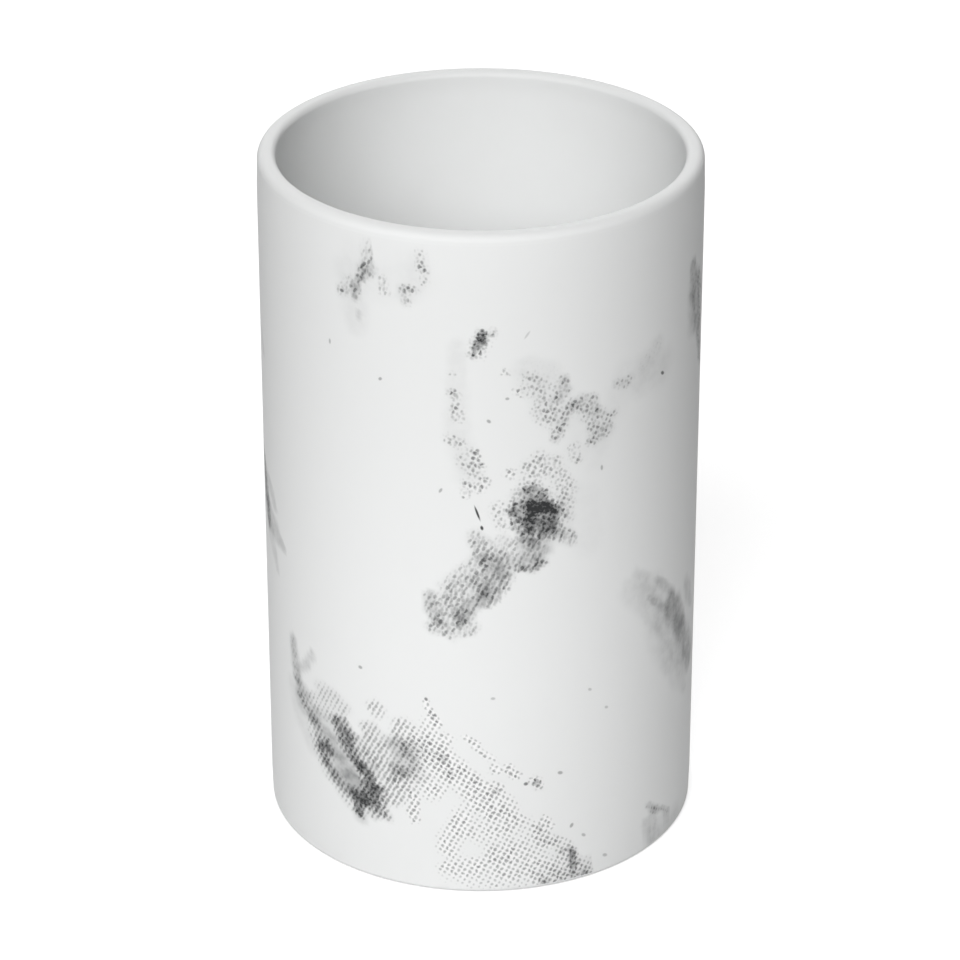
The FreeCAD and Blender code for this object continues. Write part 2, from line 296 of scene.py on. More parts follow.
# The small smudges near the lip
LIP_SMUDGES = (
    daub(0.84, 0.26, (-0.2, 99.2, 1.0), (-0.3, 97.9, 1.2)),
    daub(0.68, 0.16, (-0.6, 97.3, 1.2), (-0.9, 95.5, 1.0)),
    daub(0.42, 0.0, (-0.2, 97.4, 2.3), (-0.4, 96.2, 1.9)),
    daub(0.66, 0.1, (0.4, 98.9, 0.9), (1.1, 98.9, 0.9)),
    daub(0.7, 0.1, (1.8, 99.5, 0.9), (2.1, 98.5, 0.8)),
    daub(0.36, 0.3, (-17.2, 107.6, 1.6), (-18.2, 107.2, 1.6), (-19.2, 106.2, 1.0)),
    daub(0.42, 0.18, (-17.6, 109.0, 1.5), (-18.6, 108.2, 1.4)),
    daub(0.45, 0.46, (-19.4, 106.2, 0.8), (-19.7, 104.4, 0.75), (-19.9, 102.8, 0.85)),
    daub(0.26, 0.08, (-20.8, 105.2, 1.4), (-21.6, 103.8, 1.6), (-22.8, 103.0, 1.3)),
    daub(0.0, 0.3, (-19.3, 100.4, 0.6), (-19.0, 98.8, 0.5)),
    daub(0.3, 0.0, (-15.2, 106.5, 1.2), (-15.0, 104.5, 1.2)),
    daub(0.44, 0.1, (-11.8, 105.6, 1.3), (-11.6, 103.6, 1.2)),
    daub(0.45, 0.04, (-10.6, 106.0, 1.2)),
    daub(0.55, 0.06, (-9.2, 110.6, 1.3), (-8.7, 109.0, 1.2)),
    daub(0.5, 0.05, (-8.6, 107.2, 1.1)),
    daub(0.5, 0.03, (-11.4, 110.8, 1.1), (-9.8, 111.0, 1.0)),
    daub(0.0, 0.05, (-11.5, 104.5, 2.6), (-9.6, 109.0, 2.6)),
    daub(0.0, 0.08, (-20.6, 106.5, 4.6), (-20.0, 98.5, 3.2)),
    daub(0.0, 0.04, (-15.0, 106.4, 5.0), (-10.0, 107.4, 4.6)),
)

# What goes round the two sides
SIDE_SMUDGES = (
    daub(0.06, 0.6, (36.6, 44.0, 2.6), (38.2, 41.6, 3.8), (40.6, 38.0, 3.2)),
    daub(0.0, 0.44, (40.6, 37.0, 3.2), (43.4, 33.2, 4.2), (46.0, 29.6, 4.2)),
    daub(0.0, 0.14, (33.0, 42.0, 3.2), (37.6, 36.6, 3.4), (42.0, 30.0, 3.4)),
    daub(0.0, 0.24, (30.2, 47.6, 0.8), (33.0, 45.2, 1.2), (35.6, 42.4, 1.2)),
    daub(0.0, 0.26, (32.2, 49.8, 0.9), (34.4, 48.0, 1.2), (37.2, 45.2, 1.4)),
    daub(0.0, 0.12, (31.6, 47.6, 2.4), (34.6, 45.0, 3.0), (37.0, 41.0, 2.4)),
    daub(0.0, 0.07, (28.4, 51.2, 2.4), (32.0, 49.8, 2.8)),
    daub(0.0, 0.2, (43.2, 44.2, 1.9), (44.8, 41.6, 2.6), (47.0, 38.6, 1.4)),
    daub(0.0, 0.07, (29.0, 50.0, 3.0), (32.6, 39.0, 3.6), (36.0, 33.0, 3.4)),
    daub(0.0, 0.2, (42.6, 95.4, 2.6), (42.6, 90.0, 2.6)),
    daub(0.0, 0.22, (30.6, 5.4, 1.6), (31.4, 3.0, 2.0), (32.0, 1.2, 1.8)),
    daub(0.0, 0.1, (35.0, 36.0, 3.2), (40.0, 29.0, 3.6), (43.6, 24.6, 1.8)),
    daub(0.0, 0.1, (26.0, 50.5, 3.4), (30.0, 47.0, 4.2), (34.0, 42.0, 3.6)),
    daub(0.0, 0.12, (27.0, 53.4, 1.1), (29.6, 51.4, 1.1)),
    daub(0.16, 0.46, (42.8, 99.8, 2.2), (44.4, 95.4, 3.8), (45.6, 90.0, 3.6)),
    daub(0.3, 0.2, (46.6, 97.0, 2.0), (48.4, 93.0, 2.4), (48.0, 89.0, 1.6)),
    daub(0.3, 0.42, (47.2, 88.6, 2.2), (47.8, 84.6, 2.2), (49.6, 80.8, 1.0)),
    daub(0.4, 0.5, (-51.6, 66.0, 1.0), (-49.6, 62.0, 2.4), (-47.8, 57.4, 3.0), (-46.4, 53.6, 2.0)),
    daub(0.0, 0.17, (-49.0, 59.0, 2.2), (-46.4, 54.0, 3.4), (-43.4, 49.8, 2.0), (-41.6, 47.0, 0.9)),
    daub(0.0, 0.2, (-46.4, 61.6, 1.8), (-43.8, 59.6, 1.9), (-42.0, 57.8, 0.9)),
    daub(0.0, 0.28, (-45.6, 55.4, 3.4), (-42.2, 53.6, 2.8), (-39.2, 52.6, 1.3)),
    daub(0.1, 0.12, (-49.4, 86.4, 0.9), (-47.8, 83.6, 1.6)),
)

# The back of the wall, where the pattern repeats
BACK_SMUDGES = (
    moved(HEART + LONG_SMUDGE, 86.0, -22.0, mirrored=True)
    + moved(LEFT_STREAKS + PALE_PATCH, -68.0, 50.0)
    + moved(UPPER_PATCHES, -62.0, -62.0, mirrored=True)
    + moved(LIP_SMUDGES, 88.0, -5.0)
    + moved(BASE_EDGE, 104.0, 0.0, mirrored=True)
)

BRUSHWORK = (
    HEART
    + LONG_SMUDGE
    + LEFT_STREAKS
    + PALE_PATCH
    + BASE_EDGE
    + BASE_RIGHT
    + UPPER_PATCHES
    + LIP_SMUDGES
    + SIDE_SMUDGES
    + BACK_SMUDGES
)

# Stray specks and hairlines of solid ink
SPECKS = (
    Speck(-0.55, 68.85, 1.75, 0.24, -71.0, 0.95),
    Speck(0.15, 66.3, 0.55, 0.32, -75.0, 0.95),
    Speck(-22.5, 103.1, 0.55, 0.4, 0.0, 0.75),
    Speck(32.5, 86.0, 0.65, 0.4, -35.0, 0.8),
    Speck(-8.7, 35.4, 0.45, 0.38, -60.0, 0.7),
    Speck(7.2, 20.1, 0.5, 0.42, 0.0, 0.75),
    Speck(12.9, 21.2, 0.6, 0.42, -20.0, 0.5),
    Speck(-20.1, 38.6, 0.5, 0.4, 0.0, 0.5),
    Speck(1.9, 36.1, 0.5, 0.34, 0.0, 0.35),
    Speck(18.0, 35.2, 0.5, 0.34, -30.0, 0.3),
    Speck(21.2, 31.0, 0.5, 0.34, -30.0, 0.3),
    Speck(15.0, 10.9, 0.6, 0.4, 60.0, 0.5),
    Speck(17.2, 8.5, 0.6, 0.36, -40.0, 0.4),
    Speck(21.4, 3.3, 0.7, 0.4, -30.0, 0.35),
    Speck(-25.1, 93.9, 0.6, 0.28, 90.0, 0.4),
    Speck(-15.8, 90.0, 0.45, 0.35, 40.0, 0.5),
    Speck(-6.2, 72.5, 0.6, 0.3, 60.0, 0.45),
    Speck(19.6, 74.0, 0.6, 0.3, 95.0, 0.45),
    Speck(1.2, 84.5, 0.5, 0.36, -40.0, 0.5),
    Speck(4.0, 88.2, 0.42, 0.32, 0.0, 0.45),
    Speck(7.0, 98.6, 1.0, 0.24, 55.0, 0.25),
    Speck(-98.0, 70.0, 0.6, 0.4, 30.0, 0.6),
    Speck(-60.0, 62.0, 0.5, 0.4, 0.0, 0.5),
    Speck(84.0, 52.0, 0.5, 0.36, 20.0, 0.6),
    Speck(60.0, 40.0, 0.6, 0.36, -30.0, 0.5),
    Speck(-106.0, 30.0, 0.5, 0.36, 0.0, 0.5),
    Speck(70.0, 106.0, 0.5, 0.32, 40.0, 0.5),
    Speck(-70.0, 71.0, 1.3, 0.3, -60.0, 0.9),
)


class Wiring:
    """Short-hand for wiring the node tree of one material or world."""

    def __init__(self, owner: Union[bpy.types.Material, bpy.types.World]) -> None:
        """Starts from an empty tree.

        Args:
            owner: the material or world that the nodes are for.
        """
        owner.use_nodes = True
        self.tree = owner.node_tree
        self.tree.nodes.clear()

    def add(self, kind: str, inputs: dict[Union[str, int], Source], **settings: object) -> bpy.types.Node:
        """Adds a node and connects it.

        Args:
            kind: the node's type.
            inputs: what goes into its sockets: another socket, or a value.
            settings: the node's own properties.

        Returns:
            The new node.
        """
        node = self.tree.nodes.new(kind)
        for name, value in settings.items():
            setattr(node, name, value)
        for key, value in inputs.items():
            if isinstance(value, Socket):
                self.tree.links.new(value, node.inputs[key])
            else:
                node.inputs[key].default_value = value
        return node

    def math(self, operation: str, *values: Source) -> Socket:
        """The result of a Math node, from its operation and its inputs in order."""
        return self.add("ShaderNodeMath", dict(enumerate(values)), operation=operation).outputs[0]

    def vector_math(self, operation: str, *values: Source) -> Socket:
        """The result of a Vector Math node, which is a number for a length or a dot product."""
        node = self.add("ShaderNodeVectorMath", dict(enumerate(values)), operation=operation)
        return node.outputs["Value" if operation in ("LENGTH", "DOT_PRODUCT") else "Vector"]

    def scaled(self, vector: Source, share: Source) -> Socket:
        """A vector made longer or shorter."""
        return self.add("ShaderNodeVectorMath", {0: vector, "Scale": share}, operation="SCALE").outputs[0]

    def split(self, vector: Source) -> tuple[Socket, Socket, Socket]:
        """The three parts of a vector."""
        return tuple(self.add("ShaderNodeSeparateXYZ", {0: vector}).outputs)

    def join(self, *parts: Source) -> Socket:
        """The vector that has these parts, and 0 for what is left out."""
        return self.add("ShaderNodeCombineXYZ", dict(enumerate(parts))).outputs[0]

    def ease(self, value: Source, span: Span, ends: Span = (0.0, 1.0)) -> Socket:
        """A smooth step that follows a value over a span, from the first of its ends to the second."""
        inputs = dict(zip(EASE_INPUTS, (value, *span, *ends)))
        return self.add("ShaderNodeMapRange", inputs, interpolation_type="SMOOTHSTEP").outputs["Result"]

    def noise(self, place: Source, per_unit: float, octaves: float, flat: bool = False) -> bpy.types.Node:
        """A Noise Texture, by its features per unit; a flat one ignores the third coordinate."""
        inputs = {"Vector": place, "Scale": per_unit, "Detail": octaves, "Roughness": NOISE_ROUGHNESS}
        return self.add("ShaderNodeTexNoise", inputs, noise_dimensions="2D" if flat else "3D")

    def mix_colours(self, share: Source, first: Source, second: Source) -> Socket:
        """The first colour at a share of 0, the second at a share of 1, and a mix of both between."""
        inputs = dict(zip(MIX_INPUTS, (share, first, second)))
        return self.add("ShaderNodeMix", inputs, data_type="RGBA").outputs[MIX_RESULT]

    def raised(self, height: Source, strength: float, distance: float) -> Socket:
        """The normal of a surface with a raised pattern, of a strength and a height in metres."""
        inputs = {"Strength": strength, "Distance": distance, "Height": height}
        return self.add("ShaderNodeBump", inputs).outputs["Normal"]

    def object_place(self) -> Socket:
        """The Object coordinates, in metres."""
        return self.add("ShaderNodeTexCoord", {}).outputs["Object"]

    def surface(self, shader: Socket) -> None:
        """Sends a shader to the material's output."""
        self.add("ShaderNodeOutputMaterial", {"Surface": shader})

    def dress(self, inputs: dict[str, Source]) -> None:
        """Sends a Principled shader with these inputs to the material's output."""
        self.surface(self.add("ShaderNodeBsdfPrincipled", inputs).outputs["BSDF"])


@dataclass(frozen=True)
class Finish:
    """A surface finish: what every material of the tumbler states."""

    name: str
    colour: Colour
    roughness: float

    def material(self) -> bpy.types.Material:
        """Makes the material, with its nodes.

        Returns:
            The new material.
        """
        material = bpy.data.materials.new(self.name)
        self.wire(Wiring(material))
        return material

    def wire(self, wiring: Wiring) -> None:
        """Wires the finish; each kind of finish has its own way."""
        raise NotImplementedError(self.name)


@dataclass(frozen=True)
class MatteCeramic(Finish):
    """Matte white ceramic with a fine grain and a clouded tone, and painted shade that darkens the lip."""

    cloud_colour: Colour = (0.8, 0.806, 0.803, 1.0)
    clouds_per_m: float = 28.0
    cloud_edges: Span = (0.35, 0.7)
    # Painted shade: a darker colour over the lip, which tones down the light on it
    lip_shade_colour: Colour = (0.77, 0.777, 0.774, 1.0)
    lip_shade_heights: Span = (0.1105, 0.1145)
    grain_per_m: float = 2600.0
    grain_edges: Span = (0.3, 0.7)
    grain_height: float = 0.000012
    grain_strength: float = 0.6
    gloss_sway: float = 0.05
    octaves: float = 3.0

    def wire(self, wiring: Wiring) -> None:
        """Clouds the colour, paints shade over the lip, varies the gloss and raises the grain."""
        place = wiring.object_place()
        clouds = wiring.noise(place, self.clouds_per_m, self.octaves).outputs["Fac"]
        grain = wiring.noise(place, self.grain_per_m, self.octaves).outputs["Fac"]
        clouded = wiring.mix_colours(wiring.ease(clouds, self.cloud_edges), self.colour, self.cloud_colour)
        # Painted shade: the colour darkens over the lip's heights
        lip = wiring.ease(wiring.split(place)[2], self.lip_shade_heights)
        gloss = (self.roughness - self.gloss_sway, self.roughness + self.gloss_sway)
        wiring.dress(
            {
                "Base Color": wiring.mix_colours(lip, clouded, self.lip_shade_colour),
                "Roughness": wiring.ease(grain, self.grain_edges, gloss),
                "Normal": wiring.raised(grain, self.grain_strength, self.grain_height),
                "IOR": MATTE_INDEX,
            }
        )


@dataclass(frozen=True)
class Brush:
    """Paints the strokes of the print on the film's mesh, as the strength of each ink at each vertex."""

    strokes: tuple[Stroke, ...]
    radius: float
    heart: float = 0.28
    rag_sizes: tuple[tuple[float, float], ...] = ((3.2, 0.3), (1.4, 0.45))
    rag_seed: int = 4  # unseeded, the noise would differ from run to run
    least_run: float = 1e-9

    def paint(self, film: Piece) -> None:
        """Paints all the strokes.

        Args:
            film: the film, which gets an attribute for each ink.
        """
        noise.seed_set(self.rag_seed)
        sheet = np.array([self.unrolled(vertex.co) for vertex in film.data.vertices])
        bare = {press: np.ones(len(sheet)) for press in Press}
        for stroke in self.strokes:
            shape = self.shape(stroke, sheet)
            bare[Press.SCREEN] *= 1 - stroke.screen * shape
            bare[Press.WASH] *= 1 - stroke.wash * shape
        for press, share in bare.items():
            layer = film.data.attributes.new(press.value, "FLOAT", "POINT")
            layer.data.foreach_set("value", 1 - share)

    def unrolled(self, place: Vector) -> tuple[float, float]:
        """Where a place comes on the unrolled wall, shifted a little so that the strokes come out ragged.

        Args:
            place: a place on the film, in metres.

        Returns:
            u and v, in millimetres.
        """
        u = math.atan2(place.x, -place.y) * self.radius / MM
        v = place.z / MM
        for size, reach in self.rag_sizes:
            shift = noise.noise_vector(place / (size * MM))
            u += reach * shift.x
            v += reach * shift.y
        return u, v

    def shape(self, stroke: Stroke, sheet: np.ndarray) -> np.ndarray:
        """How strongly one stroke covers each place: 1 along its heart, fading to 0 at its half width.

        Args:
            stroke: the stroke.
            sheet: the places on the unrolled wall.

        Returns:
            The strength at each place.
        """
        path = stroke.path if len(stroke.path) > 1 else stroke.path * 2
        nearest = np.full(len(sheet), np.inf)
        for start, end in zip(path, path[1:]):
            here, there = np.array(start), np.array(end)
            run = there[:2] - here[:2]
            along = np.clip((sheet - here[:2]) @ run / max(run @ run, self.least_run), 0, 1)
            middle = here + along[:, None] * (there - here)
            away = np.linalg.norm(sheet - middle[:, :2], axis=1) / middle[:, 2]
            nearest = np.minimum(nearest, away)
        fade = np.clip((1 - nearest) / (1 - self.heart), 0, 1)
        return fade * fade * (3 - 2 * fade)


@dataclass(frozen=True)
class ScreenWave:
    """One of the two sets of rows of a halftone screen: their pitch in millimetres and the way across."""

    pitch: float
    turn: float

    def step(self) -> Place:
        """The vector that counts rows when a place on the unrolled wall is measured along it."""
        turn = math.radians(self.turn)
        return math.cos(turn) / self.pitch, math.sin(turn) / self.pitch, 0.0


Screen = tuple[ScreenWave, ScreenWave]


@dataclass(frozen=True)
class MarbleFilm(Finish):
    """The white film with its marble print, in dark ink through a halftone screen; its white is darker
    towards the top, as painted shade.

    Places and sizes are in millimetres on the unrolled wall. A span of tones is the range of the ink's
    strength over which something sets in.
    """

    radius: float
    specks: tuple[Speck, ...]
    speck_edge: Span = (0.4, 1.0)
    ink: Colour = (0.022, 0.023, 0.024, 1.0)
    wash: Colour = (0.13, 0.133, 0.136, 1.0)
    # Painted shade: the film's white darkens towards the top of the wall
    upper_shaded_white: Colour = (0.765, 0.772, 0.769, 1.0)
    upper_shade_heights: Span = (25.0, 108.0)
    ink_gain: float = 1.9
    ink_gloss: float = 0.06
    grain_per_mm: float = 2.2
    grain_octaves: float = 3.0
    grain_strength: float = 0.5
    grain_height: float = 0.00001
    # Patches of more and of less ink, but not where it is dark
    patches_per_mm: float = 0.5
    patch_octaves: float = 4.0
    patch_edges: Span = (0.25, 0.75)
    patch_range: Span = (0.72, 1.28)
    whole_tones: Span = (0.5, 0.95)
    # The screen's rows, and a second, fainter screen over the upper part
    screen: Screen = (ScreenWave(0.863, -27.4), ScreenWave(0.818, 57.6))
    faint_screen: Screen = (ScreenWave(0.84, 4.0), ScreenWave(0.84, -86.0))
    faint_share: float = 0.42
    # The dots: how large they grow, how uneven they are and how far they stray, with a calm lower part
    dot_reach: Span = (0.02, 0.52)
    dot_growth: Span = (0.6, 1.0)
    growth_tones: Span = (0.05, 0.45)
    dot_luck: Span = (0.3, 1.5)
    even_tones: Span = (0.45, 0.85)
    evenness: float = 0.7
    calm_heights: Span = (34.0, 48.0)
    calm: float = 0.7
    stray: Span = (0.12, 0.34)
    sway_per_mm: float = 1.1
    sway_reach: Span = (0.4, 0.9)
    sway_tones: Span = (0.2, 0.7)
    octaves: float = 2.0
    # Where the print slurs, and the dots run into rows
    slur_sides: Span = (-15.0, -9.0)
    side_squeeze: Span = (0.52, 0.85)
    slur_height: float = 56.0
    slur_band: Span = (8.0, 13.0)
    band_squeeze: Span = (0.5, 0.85)
    # Where the dots fill up to gritty, solid ink
    fill_tones: Span = (0.5, 1.12)
    grit_per_mm: float = 1.8
    grit_edges: Span = (0.3, 0.7)
    grit: Span = (0.75, 1.2)
    solid_tones: Span = (0.72, 0.98)
    solid_grit: Span = (0.94, 1.05)
    fringe_tones: Span = (0.0, 0.22)
    # The bright white between the dots, which is duller at the left and towards the top
    underprint: Colour = (0.95, 0.95, 0.95, 1.0)
    gap_edges: Span = (0.05, 0.5)
    bright_tones: Span = (0.15, 0.45)
    gleam_sides: Span = (-24.0, -17.0)
    gleam_heights: Span = (32.0, 48.0)
    dull: float = 0.36
    plain_heights: Span = (74.0, 84.0)
    plain: float = 0.25

    def wire(self, wiring: Wiring) -> None:
        """Reads the painted inks, breaks one of them up into dots, and prints both over the film's white,
        which has painted shade towards the top.
        """
        sheet = self.unroll(wiring)
        screen, wash = (self.patchy(wiring, sheet, press) for press in (Press.SCREEN, Press.WASH))
        dots, bright = self.halftone(wiring, sheet, screen)
        ink = wiring.math("MAXIMUM", dots, self.sprinkle(wiring, sheet))
        # Painted shade: the white darkens with height
        fade = wiring.ease(wiring.split(sheet)[1], self.upper_shade_heights)
        shaded_paper = wiring.mix_colours(fade, self.colour, self.upper_shaded_white)
        white = wiring.mix_colours(bright, shaded_paper, self.underprint)
        veiled = wiring.mix_colours(wash, white, self.wash)
        grain = wiring.noise(sheet, self.grain_per_mm, self.grain_octaves, flat=True).outputs["Fac"]
        wiring.dress(
            {
                "Base Color": wiring.mix_colours(ink, veiled, self.ink),
                "Roughness": wiring.ease(ink, (0.0, 1.0), (self.roughness, self.roughness - self.ink_gloss)),
                "Normal": wiring.raised(grain, self.grain_strength, self.grain_height),
                "IOR": MATTE_INDEX,
            }
        )

    def patchy(self, wiring: Wiring, sheet: Socket, press: Press) -> Socket:
        """The strength of an ink, as painted on the film's mesh and then made patchy.

        Args:
            wiring: the material's nodes.
            sheet: the place on the unrolled wall.
            press: the ink.

        Returns:
            The ink's strength, from 0 to 1.
        """
        painted = wiring.add("ShaderNodeAttribute", {}, attribute_name=press.value).outputs["Fac"]
        patch = wiring.noise(sheet, self.patches_per_mm, self.patch_octaves, flat=True).outputs["Fac"]
        patched = wiring.math("MULTIPLY", painted, wiring.ease(patch, self.patch_edges, self.patch_range))
        dark = wiring.ease(painted, self.whole_tones)
        whole = wiring.math("MULTIPLY_ADD", dark, wiring.math("SUBTRACT", painted, patched), patched)
        return wiring.math("MINIMUM", whole, 1.0)

    def unroll(self, wiring: Wiring) -> Socket:
        """Finds the place on the unrolled wall.

        Args:
            wiring: the material's nodes.

        Returns:
            The vector (u, v, 0), in millimetres.
        """
        x, y, z = wiring.split(wiring.object_place())
        angle = wiring.math("ARCTAN2", x, wiring.math("MULTIPLY", y, -1.0))
        return wiring.join(wiring.math("MULTIPLY", angle, self.radius / MM), wiring.math("DIVIDE", z, MM))

    def sprinkle(self, wiring: Wiring, sheet: Socket) -> Source:
        """Sprinkles the specks of solid ink.

        Args:
            wiring: the material's nodes.
            sheet: the place on the unrolled wall.

        Returns:
            How much ink there is, from 0 to 1.
        """
        ink: Source = 0.0
        for speck in self.specks:
            oval = wiring.add(
                "ShaderNodeMapping",
                {
                    "Vector": sheet,
                    "Location": (speck.u, speck.v, 0.0),
                    "Rotation": (0.0, 0.0, math.radians(speck.turn)),
                    "Scale": (speck.length, speck.width, 1.0),
                },
                vector_type="TEXTURE",
            )
            away = wiring.vector_math("LENGTH", oval.outputs[0])
            ink = wiring.math("MAXIMUM", ink, wiring.ease(away, self.speck_edge, (speck.strength, 0.0)))
        return ink

    def halftone(self, wiring: Wiring, sheet: Socket, tone: Socket) -> tuple[Socket, Socket]:
        """Breaks a tone up into the dots of the screen, which fill up as it darkens.

        Args:
            wiring: the material's nodes.
            sheet: the place on the unrolled wall.
            tone: the strength of the ink.

        Returns:
            How much ink there is, and how much of the bright white between the dots, both from 0 to 1.
        """
        _, v, _ = wiring.split(sheet)
        strong = self.dots(wiring, sheet, self.screen, tone)
        faint = self.dots(wiring, sheet, self.faint_screen, tone)
        share = wiring.math("MULTIPLY", wiring.ease(v, self.calm_heights), self.faint_share)
        dot = wiring.math("MAXIMUM", strong, wiring.math("MULTIPLY", faint, share))
        filled = wiring.ease(tone, self.fill_tones)
        gaps = wiring.math("SUBTRACT", 1.0, filled)
        speckle = wiring.noise(sheet, self.grit_per_mm, self.octaves, flat=True).outputs["Fac"]
        gritty = wiring.math("MULTIPLY", filled, wiring.ease(speckle, self.grit_edges, self.grit))
        pattern = wiring.math("MINIMUM", wiring.math("MULTIPLY_ADD", gaps, dot, gritty), 1.0)
        rough_tone = wiring.math("MULTIPLY", tone, wiring.ease(speckle, self.grit_edges, self.solid_grit))
        solid = wiring.math("MAXIMUM", pattern, wiring.ease(rough_tone, self.solid_tones))
        gain = wiring.math("MULTIPLY_ADD", tone, 1.0 - self.ink_gain, self.ink_gain)
        strength = wiring.math("MULTIPLY", tone, gain)
        fringe = wiring.math("MULTIPLY", strength, wiring.ease(tone, self.fringe_tones))
        between = wiring.math("MULTIPLY", gaps, wiring.ease(dot, self.gap_edges, (1.0, 0.0)))
        bright = wiring.math("MULTIPLY", between, wiring.ease(tone, self.bright_tones))
        ink = wiring.math("MULTIPLY", solid, fringe)
        return ink, wiring.math("MULTIPLY", bright, self.gleam(wiring, sheet))

    def gleam(self, wiring: Wiring, sheet: Socket) -> Socket:
        """How bright the white between the dots is at each place.

        Args:
            wiring: the material's nodes.
            sheet: the place on the unrolled wall.

        Returns:
            The brightness, from 0 to 1.
        """
        u, v, _ = wiring.split(sheet)
        right = wiring.ease(u, self.gleam_sides, (self.dull, 1.0))
        low = wiring.ease(v, self.gleam_heights, (1.0, self.dull))
        heights = wiring.math("MULTIPLY", low, wiring.ease(v, self.plain_heights, (1.0, self.plain)))
        return wiring.math("MULTIPLY", right, heights)

    def squeeze(self, wiring: Wiring, sheet: Socket) -> Socket:
        """How much shorter a dot is along its row than across; where the print slurs, it is under 1.

        Args:
            wiring: the material's nodes.
            sheet: the place on the unrolled wall.

        Returns:
            The factor.
        """
        u, v, _ = wiring.split(sheet)
        band = wiring.math("ABSOLUTE", wiring.math("SUBTRACT", v, self.slur_height))
        side = wiring.ease(u, self.slur_sides, self.side_squeeze)
        return wiring.math("MINIMUM", side, wiring.ease(band, self.slur_band, self.band_squeeze))

    def dots(self, wiring: Wiring, sheet: Socket, screen: Screen, tone: Socket) -> Socket:
        """Lays a screen's dots: each strays in its cell, and where the print slurs they run into rows.

        Args:
            wiring: the material's nodes.
            sheet: the place on the unrolled wall.
            screen: the rows of the screen, both ways.
            tone: the strength of the ink.

        Returns:
            The strength of the dots.
        """
        height = wiring.split(sheet)[1]
        sway = wiring.noise(sheet, self.sway_per_mm, self.octaves, flat=True).outputs["Color"]
        off = wiring.vector_math("SUBTRACT", sway, MIDDLE)
        swung = wiring.scaled(off, wiring.ease(tone, self.sway_tones, self.sway_reach))
        swayed = wiring.vector_math("ADD", sheet, swung)
        grid = wiring.join(*(wiring.vector_math("DOT_PRODUCT", swayed, wave.step()) for wave in screen))
        cell = wiring.vector_math("FLOOR", wiring.vector_math("ADD", grid, HALF_CELL))
        chances = wiring.add("ShaderNodeTexWhiteNoise", {"Vector": cell}, noise_dimensions="2D")
        luck, *ways = wiring.split(chances.outputs["Color"])
        way = wiring.vector_math("SUBTRACT", wiring.join(*ways), HALF_CELL)
        aside = wiring.scaled(way, wiring.ease(height, self.calm_heights, self.stray))
        place = wiring.vector_math("SUBTRACT", wiring.vector_math("SUBTRACT", grid, cell), aside)
        across, along, _ = wiring.split(place)
        squeezed = wiring.math("MULTIPLY", along, self.squeeze(wiring, sheet))
        away = wiring.vector_math("LENGTH", wiring.join(across, squeezed))
        calm = wiring.ease(height, self.calm_heights, (self.calm, 0.0))
        even = wiring.math("MAXIMUM", wiring.ease(tone, self.even_tones, (0.0, self.evenness)), calm)
        chance = wiring.ease(luck, (0.0, 1.0), self.dot_luck)
        fair = wiring.math("MULTIPLY_ADD", even, wiring.math("SUBTRACT", 1.0, chance), chance)
        grown = wiring.math("DIVIDE", away, wiring.ease(tone, self.growth_tones, self.dot_growth))
        return wiring.math("MULTIPLY", wiring.ease(grown, self.dot_reach, (1.0, 0.0)), fair)


@dataclass(frozen=True)
class ClosedCellFoam(Finish):
    """Pale non-slip foam: small closed cells with painted shade in them, a little uneven in tone."""

    # Painted shade: the colour in the sunk cells
    cell_shade_colour: Colour = (0.52, 0.52, 0.5, 1.0)
    cells_per_m: float = 1700.0
    cell_edges: Span = (0.05, 0.5)
    cell_depth: float = 0.00012
    cell_strength: float = 0.8
    clouds_per_m: float = 90.0
    cloud_octaves: float = 3.0
    cloud_edges: Span = (0.3, 0.7)
    gloss_sway: float = 0.06

    def wire(self, wiring: Wiring) -> None:
        """Sinks the cells and paints shade into them, more in some clouds than others."""
        place = wiring.object_place()
        cells = wiring.add("ShaderNodeTexVoronoi", {"Vector": place, "Scale": self.cells_per_m})
        depth = wiring.ease(cells.outputs["Distance"], self.cell_edges)
        clouds = wiring.noise(place, self.clouds_per_m, self.cloud_octaves).outputs["Fac"]
        # Painted shade in the sunk cells, made uneven by the clouds
        shade = wiring.math("MULTIPLY", wiring.math("SUBTRACT", 1.0, depth), clouds)
        gloss = (self.roughness - self.gloss_sway, self.roughness + self.gloss_sway)
        wiring.dress(
            {
                "Base Color": wiring.mix_colours(shade, self.colour, self.cell_shade_colour),
                "Roughness": wiring.ease(clouds, self.cloud_edges, gloss),
                "Normal": wiring.raised(depth, self.cell_strength, self.cell_depth),
            }
        )


@dataclass(frozen=True)
class TransferTape(Finish):
    """Milky transfer tape with trapped air in it."""

    bubble_colour: Colour = (0.82, 0.81, 0.78, 1.0)
    bubbles_per_m: float = 420.0
    bubble_octaves: float = 2.0
    bubble_edges: Span = (0.5, 0.62)
    gloss_edges: Span = (0.45, 0.65)
    gloss_gain: float = 0.2

    def wire(self, wiring: Wiring) -> None:
        """Spreads the trapped air."""
        place = wiring.object_place()
        bubbles = wiring.noise(place, self.bubbles_per_m, self.bubble_octaves).outputs["Fac"]
        gloss = (self.roughness, self.roughness + self.gloss_gain)
        wiring.dress(
            {
                "Base Color": wiring.mix_colours(
                    wiring.ease(bubbles, self.bubble_edges), self.colour, self.bubble_colour
                ),
                "Roughness": wiring.ease(bubbles, self.gloss_edges, gloss),
            }
        )


def start_piece(name: str, add_primitive: Callable[..., object], **sizes: object) -> Piece:
    """Adds a primitive with nothing else selected, and opens it for editing.

    Args:
        name: the piece's name.
        add_primitive: the operator that adds the primitive.
        sizes: the operator's own settings.

    Returns:
        The new object, in edit mode, with all of it selected.
    """
    bpy.ops.object.select_all(action="DESELECT")
    add_primitive(**sizes)
    piece = bpy.context.active_object
    piece.name = name
    piece.data.name = name
    bpy.ops.object.transform_apply(location=True, rotation=True, scale=True)
    bpy.ops.object.mode_set(mode="EDIT")
    bpy.ops.mesh.select_all(action="SELECT")
    return piece


